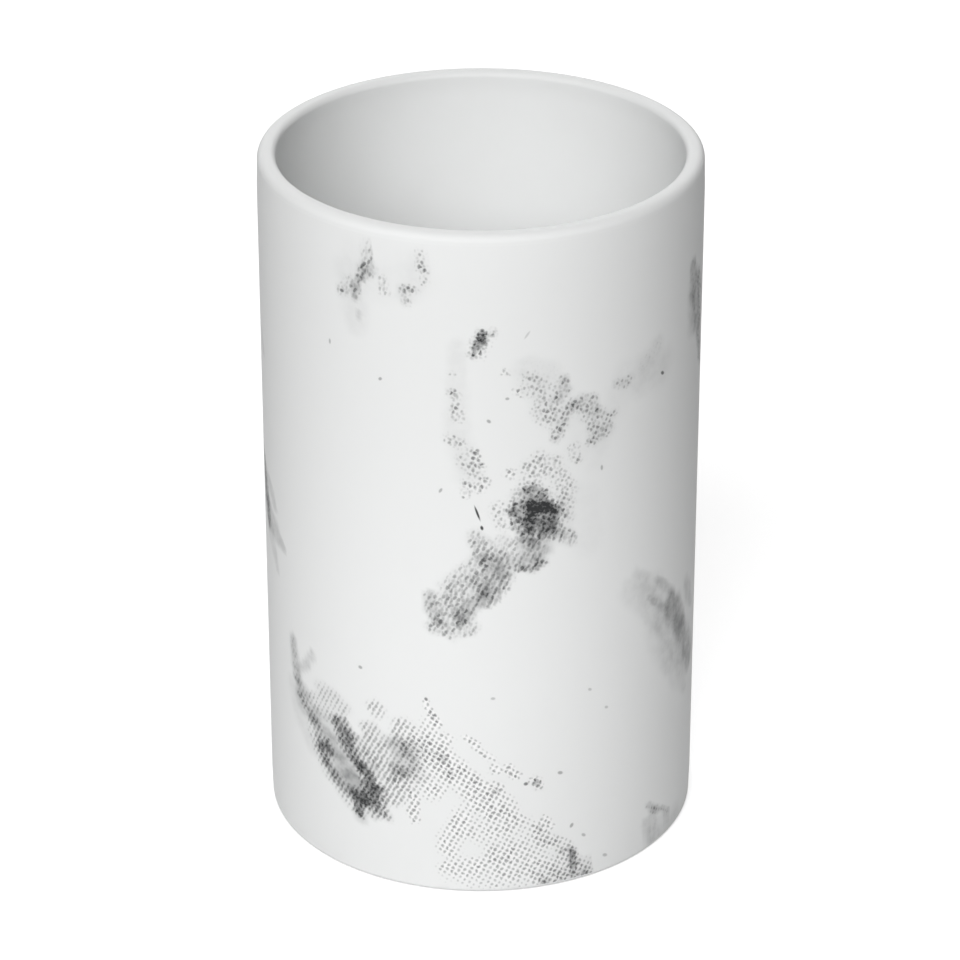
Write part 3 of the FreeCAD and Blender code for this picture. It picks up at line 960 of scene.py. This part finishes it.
def select_edges(piece: Piece, wanted: Callable[[Vector], bool]) -> None:
    """Selects the edges of the piece in edit mode whose two ends are both wanted, and nothing else.

    Args:
        piece: the piece that is being edited.
        wanted: says of a place whether it counts.
    """
    bpy.ops.mesh.select_mode(type="EDGE")
    bpy.ops.mesh.select_all(action="DESELECT")
    shape = bmesh.from_edit_mesh(piece.data)
    for edge in shape.edges:
        edge.select_set(all(wanted(vertex.co) for vertex in edge.verts))
    shape.select_flush_mode()
    bmesh.update_edit_mesh(piece.data)


def fill_ring() -> None:
    """Closes the ring that is selected with a flat sheet of quads."""
    bpy.ops.mesh.fill_grid(span=SIDES // 4)


def round_off(radius: float, steps: int) -> None:
    """Rounds the edges that are selected, in a number of steps."""
    bpy.ops.mesh.bevel(offset=radius, offset_type="OFFSET", segments=steps, affect="EDGES")


def finish_piece(piece: Piece, smooth_below: float, material: bpy.types.Material) -> Piece:
    """Closes edit mode, merges doubles, turns the faces outwards, smooths the shading and dresses the piece.

    Args:
        piece: the piece that is being edited.
        smooth_below: the angle, in degrees, under which an edge is shaded smooth.
        material: the piece's material.

    Returns:
        The piece.
    """
    bpy.ops.mesh.select_all(action="SELECT")
    bpy.ops.mesh.remove_doubles(threshold=MERGED_BELOW)
    bpy.ops.mesh.normals_make_consistent(inside=False)
    bpy.ops.object.mode_set(mode="OBJECT")
    bpy.ops.object.shade_smooth_by_angle(angle=math.radians(smooth_below))
    piece.data.materials.clear()
    piece.data.materials.append(material)
    return piece


def on_ring(radius: float, height: float, slack: float = 0.01 * MM) -> Callable[[Vector], bool]:
    """A test of whether a place is on a level ring round the axis.

    Args:
        radius: the ring's radius.
        height: the ring's height.
        slack: how far off it a place may be.

    Returns:
        The test.
    """

    def test(place: Vector) -> bool:
        """Whether a place is on the ring."""
        return abs(place.xy.length - radius) < slack and abs(place.z - height) < slack

    return test


@dataclass
class Cup:
    """The ceramic cup, turned ring by ring from its foot to its inside floor."""

    finish: Finish
    radius: float
    inside_radius: float
    recess_radius: float
    foot_height: float
    recess_height: float
    floor_height: float
    rim_height: float
    rim_outer_round: float = 1.3 * MM
    rim_inner_round: float = 1.0 * MM
    base_round: float = 0.5 * MM
    foot_round: float = 0.4 * MM
    corner_round: float = 6.0 * MM
    holding: float = 0.6 * MM
    lip_steps: int = 8
    corner_steps: int = 12
    base_steps: int = 6
    foot_steps: int = 4
    smooth_below: float = 20.0
    name: str = "turned_cup"

    def build(self) -> Piece:
        """Turns the cup, rounds its edges and dresses it.

        Returns:
            The finished cup.
        """
        piece = start_piece(
            self.name,
            bpy.ops.mesh.primitive_circle_add,
            vertices=SIDES,
            radius=self.recess_radius,
            location=(0.0, 0.0, self.recess_height),
        )
        fill_ring()
        select_edges(piece, on_ring(self.recess_radius, self.recess_height))
        self.turn()
        fill_ring()
        self.round_edges(piece)
        return finish_piece(piece, self.smooth_below, self.finish.material())

    def turn(self) -> None:
        """Pulls the open ring along the section, from the recess over foot and lip to the inside floor."""
        radius, height = self.recess_radius, self.recess_height
        for next_radius, next_height in self.section():
            bpy.ops.mesh.extrude_region_move(
                TRANSFORM_OT_translate={"value": (0.0, 0.0, next_height - height)}
            )
            scale = next_radius / radius
            bpy.ops.transform.resize(value=(scale, scale, 1.0), center_override=(0.0, 0.0, next_height))
            radius, height = next_radius, next_height

    def section(self) -> Iterable[tuple[float, float]]:
        """The corners of the section, with holding rings that keep the long walls straight in the shading."""
        yield self.recess_radius, self.foot_height
        yield self.radius, self.foot_height
        yield self.radius, self.foot_height + self.base_round + self.holding
        yield self.radius, self.rim_height - self.rim_outer_round - self.holding
        yield self.radius, self.rim_height
        yield self.inside_radius, self.rim_height
        yield self.inside_radius, self.rim_height - self.rim_inner_round - self.holding
        yield self.inside_radius, self.floor_height + self.corner_round + self.holding
        yield self.inside_radius, self.floor_height
        yield self.inside_radius - self.corner_round - self.holding, self.floor_height

    def round_edges(self, piece: Piece) -> None:
        """Rounds the edges of the lip, the foot and the inside corner.

        Args:
            piece: the cup, in edit mode.
        """
        for radius, height, rounding, steps in (
            (self.radius, self.rim_height, self.rim_outer_round, self.lip_steps),
            (self.inside_radius, self.rim_height, self.rim_inner_round, self.lip_steps),
            (self.inside_radius, self.floor_height, self.corner_round, self.corner_steps),
            (self.radius, self.foot_height, self.base_round, self.base_steps),
            (self.recess_radius, self.foot_height, self.foot_round, self.foot_steps),
        ):
            select_edges(piece, on_ring(radius, height))
            round_off(rounding, steps)


@dataclass
class Wrap:
    """The printed film: a thin sheet swept round the wall, with feathered rims and its ends at the back."""

    finish: Finish
    brush: Brush
    radius: float
    inside_radius: float
    bottom: float
    top: float
    seam_gap: float
    row_cuts: tuple[int, ...] = (100, 1)  # in two passes, as one makes 100 cuts at most
    feather: float = 4.0 * MM
    bake_margin: float = 0.02
    smooth_below: float = 5.0
    name: str = "printed_wrap"

    def build(self) -> Piece:
        """Sweeps the film's section round the wall and dresses it.

        Returns:
            The finished film.
        """
        turn = FULL_TURN - self.seam_gap / self.radius
        middle = (self.radius + self.inside_radius) / 2
        start = math.pi / 2 + self.seam_gap / self.radius / 2
        piece = start_piece(self.name, bpy.ops.mesh.primitive_plane_add, size=1.0)
        thick, tall = self.radius - self.inside_radius, self.top - self.bottom
        bpy.ops.transform.resize(value=(thick, tall, 1.0), center_override=(0.0, 0.0, 0.0))
        self.feather_rims(piece, tall)
        for cuts in self.row_cuts:
            self.pick_outer_side(piece)
            bpy.ops.mesh.subdivide(number_cuts=cuts)
        bpy.ops.mesh.select_all(action="SELECT")
        bpy.ops.mesh.delete(type="ONLY_FACE")
        self.stand_up(piece, middle, start)
        bpy.ops.mesh.select_all(action="SELECT")
        bpy.ops.mesh.spin(steps=SIDES, angle=turn, center=(0.0, 0.0, 0.0), axis=(0.0, 0.0, 1.0))
        bpy.ops.mesh.select_all(action="SELECT")
        bpy.ops.mesh.fill_holes(sides=0)
        finish_piece(piece, self.smooth_below, self.finish.material())
        self.brush.paint(piece)
        self.lay_out_bake(piece)
        return piece

    def pick_outer_side(self, piece: Piece) -> None:
        """Selects the outer side of the flat section, whose middle is at x = 0."""
        select_edges(piece, lambda place: place.x > 0)

    def feather_rims(self, piece: Piece, tall: float) -> None:
        """Shortens the outer side of the flat section, so that the film thins out towards both rims.

        Args:
            piece: the flat section, in edit mode.
            tall: the film's height.
        """
        self.pick_outer_side(piece)
        scale = 1 - 2 * self.feather / tall
        bpy.ops.transform.resize(value=(1.0, scale, 1.0), center_override=(0.0, 0.0, 0.0))

    def stand_up(self, piece: Piece, middle: float, start: float) -> None:
        """Moves the flat section to where the film begins, upright, with its thickness along the radius.

        Args:
            piece: the flat section, in edit mode.
            middle: the radius at the middle of the film's thickness.
            start: the angle at which the film begins, in radians from +X.
        """
        shape = bmesh.from_edit_mesh(piece.data)
        for vertex in shape.verts:
            radius = middle + vertex.co.x
            height = (self.bottom + self.top) / 2 + vertex.co.y
            vertex.co = Vector((radius * math.cos(start), radius * math.sin(start), height))
        bmesh.update_edit_mesh(piece.data)

    def lay_out_bake(self, piece: Piece) -> None:
        """Unrolls the film's outer face over most of the bake's square, and the rest into a strip below it.

        Args:
            piece: the film.
        """
        layer = piece.data.uv_layers.new(name="OFBake")
        for face in piece.data.polygons:
            outside = face.center.xy.dot(face.normal.xy) > 0
            low, high = (2 * self.bake_margin, 1.0) if outside else (0.0, self.bake_margin)
            for loop in face.loop_indices:
                place = piece.data.vertices[piece.data.loops[loop].vertex_index].co
                across = math.atan2(place.x, -place.y) / FULL_TURN + 0.5
                up = (place.z - self.bottom) / (self.top - self.bottom)
                layer.data[loop].uv = (across, low + (high - low) * up)


@dataclass
class Pad:
    """The non-slip pad: a die-cut disc of foam, eased at the edge that meets the surface."""

    finish: Finish
    radius: float
    bottom: float
    top: float
    edge_round: float = 0.35 * MM
    edge_steps: int = 5
    smooth_below: float = 30.0
    name: str = "foam_pad"

    def build(self) -> Piece:
        """Cuts the disc, eases its edges and dresses it.

        Returns:
            The finished pad.
        """
        piece = start_piece(
            self.name,
            bpy.ops.mesh.primitive_circle_add,
            vertices=SIDES,
            radius=self.radius,
            location=(0.0, 0.0, self.bottom),
        )
        fill_ring()
        bpy.ops.mesh.select_all(action="SELECT")
        bpy.ops.mesh.extrude_region_move(TRANSFORM_OT_translate={"value": (0.0, 0.0, self.top - self.bottom)})
        select_edges(piece, on_ring(self.radius, self.bottom))
        round_off(self.edge_round, self.edge_steps)
        return finish_piece(piece, self.smooth_below, self.finish.material())


@dataclass(frozen=True)
class Lamp:
    """A square soft box, by the direction it stands in as seen from the tumbler, in degrees and watts."""

    name: str
    azimuth: float
    elevation: float
    power: float
    size: float = 0.9
    distance: float = 1.4

    def hang(self, aim: Vector) -> None:
        """Hangs the soft box and turns it to the tumbler.

        Args:
            aim: the place that it faces.
        """
        lamp = bpy.data.lights.new(self.name, "AREA")
        lamp.shape = "SQUARE"
        lamp.size = self.size
        lamp.energy = self.power
        box = bpy.data.objects.new(self.name, lamp)
        bpy.context.scene.collection.objects.link(box)
        turn, rise = math.radians(self.azimuth), math.radians(self.elevation)
        way = Vector((math.sin(turn) * math.cos(rise), -math.cos(turn) * math.cos(rise), math.sin(rise)))
        box.location = aim + way * self.distance
        box.rotation_mode = "QUATERNION"
        box.rotation_quaternion = (-way).to_track_quat("-Z", "Y")
        box.visible_camera = False


@dataclass
class Studio:
    """The plain white floor, the soft light and the camera of the reference view."""

    floor_size: float = 6.0
    floor_colour: Colour = (0.7, 0.7, 0.7, 1.0)
    floor_glow: float = 0.56
    white: Colour = (1.0, 1.0, 1.0, 1.0)
    ambient_strength: float = 0.05
    lamps: tuple[Lamp, ...] = (
        Lamp("key", azimuth=-20.0, elevation=40.0, power=12.0),
        Lamp("front fill", azimuth=0.0, elevation=40.0, power=8.0),
        Lamp("back light", azimuth=180.0, elevation=30.0, power=11.5),
    )
    aim: Place = (-0.000137, 0.0, 0.056806)
    elevation: float = 26.908
    distance: float = 0.65928
    lens: float = 152.456
    sensor: float = 36.0
    nearest: float = 0.01

    def build(self) -> None:
        """Sets up the floor, the light and the camera."""
        bpy.context.scene.view_settings.view_transform = "Standard"
        self.lay_floor()
        self.light_world()
        for lamp in self.lamps:
            lamp.hang(Vector(self.aim))
        self.place_camera()

    def seen(self, wiring: Wiring) -> Socket:
        """1 for the rays by which the background is seen, straight or in gloss or glass, and 0 otherwise."""
        path = wiring.add("ShaderNodeLightPath", {})
        straight = path.outputs["Is Camera Ray"]
        either = wiring.math("MAXIMUM", straight, path.outputs["Is Glossy Ray"])
        return wiring.math("MAXIMUM", either, path.outputs["Is Transmission Ray"])

    def lay_floor(self) -> None:
        """Lays the floor: it takes the tumbler's shadow, and is white where nothing shades it."""
        bpy.ops.object.select_all(action="DESELECT")
        bpy.ops.mesh.primitive_plane_add(size=self.floor_size)
        floor = bpy.context.active_object
        floor.name = "floor"
        material = bpy.data.materials.new("white floor")
        wiring = Wiring(material)
        matte = wiring.add("ShaderNodeBsdfDiffuse", {"Color": self.floor_colour})
        strength = wiring.math("MULTIPLY", self.seen(wiring), self.floor_glow)
        glow = wiring.add("ShaderNodeEmission", {"Strength": strength})
        both = wiring.add("ShaderNodeAddShader", {0: matte.outputs[0], 1: glow.outputs[0]})
        wiring.surface(both.outputs[0])
        floor.data.materials.append(material)

    def light_world(self) -> None:
        """Fills the room with even light, and shows it as white."""
        world = bpy.data.worlds.new("studio")
        bpy.context.scene.world = world
        wiring = Wiring(world)
        seen = self.seen(wiring)
        strength = wiring.math("MULTIPLY_ADD", seen, 1.0 - self.ambient_strength, self.ambient_strength)
        light = wiring.add("ShaderNodeBackground", {"Color": self.white, "Strength": strength})
        wiring.add("ShaderNodeOutputWorld", {"Surface": light.outputs[0]})

    def place_camera(self) -> None:
        """Places the camera, straight in front of the print and looking down on the lip."""
        data = bpy.data.cameras.new("camera")
        data.lens = self.lens
        data.sensor_width = self.sensor
        data.clip_start = self.nearest
        camera = bpy.data.objects.new("camera", data)
        bpy.context.scene.collection.objects.link(camera)
        down = math.radians(self.elevation)
        forward = Vector((0.0, math.cos(down), -math.sin(down)))
        camera.location = Vector(self.aim) - forward * self.distance
        camera.rotation_mode = "QUATERNION"
        camera.rotation_quaternion = forward.to_track_quat("-Z", "Y")
        bpy.context.scene.camera = camera


def put_on(piece: Piece, node: str) -> None:
    """Lets a piece stand for its node: it rides on the tumbler, and the node is hidden.

    Args:
        piece: the finished piece.
        node: the node that it stands for.
    """
    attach(piece, BODY)
    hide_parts(node)
    LOG.info("%s: %d faces, stands for %s", piece.name, len(piece.data.polygons), node)


def make_pieces(nodes: dict[str, Piece]) -> None:
    """Models and dresses the tumbler's pieces, with their sizes from the frame.

    Args:
        nodes: the frame's nodes, by name.
    """
    cup_low, cup_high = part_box("tumbler_body")
    film_low, film_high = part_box("marble_film")
    pad_low, pad_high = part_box("base_pad")
    _, tape_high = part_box("pad_adhesive")
    cup = Cup(
        finish=MatteCeramic("matte ceramic", colour=(0.82, 0.828, 0.825, 1.0), roughness=0.78),
        radius=cup_high.x,
        inside_radius=cup_high.x - WALL,
        recess_radius=pad_high.x + PAD_ROOM,
        foot_height=cup_low.z,
        recess_height=tape_high.z,
        floor_height=tape_high.z + FLOOR,
        rim_height=cup_high.z,
    )
    put_on(cup.build(), "tumbler_body")
    marble = MarbleFilm(
        "marble film", colour=(0.855, 0.863, 0.86, 1.0), roughness=0.78, radius=film_high.x, specks=SPECKS
    )
    wrap = Wrap(
        finish=marble,
        brush=Brush(BRUSHWORK, film_high.x),
        radius=film_high.x,
        inside_radius=cup_high.x,
        bottom=film_low.z,
        top=film_high.z,
        seam_gap=SEAM_GAP,
    )
    put_on(wrap.build(), "marble_film")
    pad = Pad(
        finish=ClosedCellFoam("closed-cell foam", colour=(0.7, 0.7, 0.68, 1.0), roughness=0.8),
        radius=pad_high.x,
        bottom=pad_low.z,
        top=pad_high.z,
    )
    foam = pad.build()
    put_on(foam, "base_pad")
    milky = TransferTape("transfer tape", colour=(0.7, 0.69, 0.62, 1.0), roughness=0.3)
    tape = nodes["pad_adhesive"]
    tape.data.materials.clear()
    tape.data.materials.append(milky.material())


def main() -> None:
    """Loads the frame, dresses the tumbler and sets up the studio."""
    logging.basicConfig(level=logging.INFO, format="%(name)s: %(message)s")
    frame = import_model()
    make_pieces(frame["nodes"])
    Studio().build()


if __name__ == "__main__":
    main()
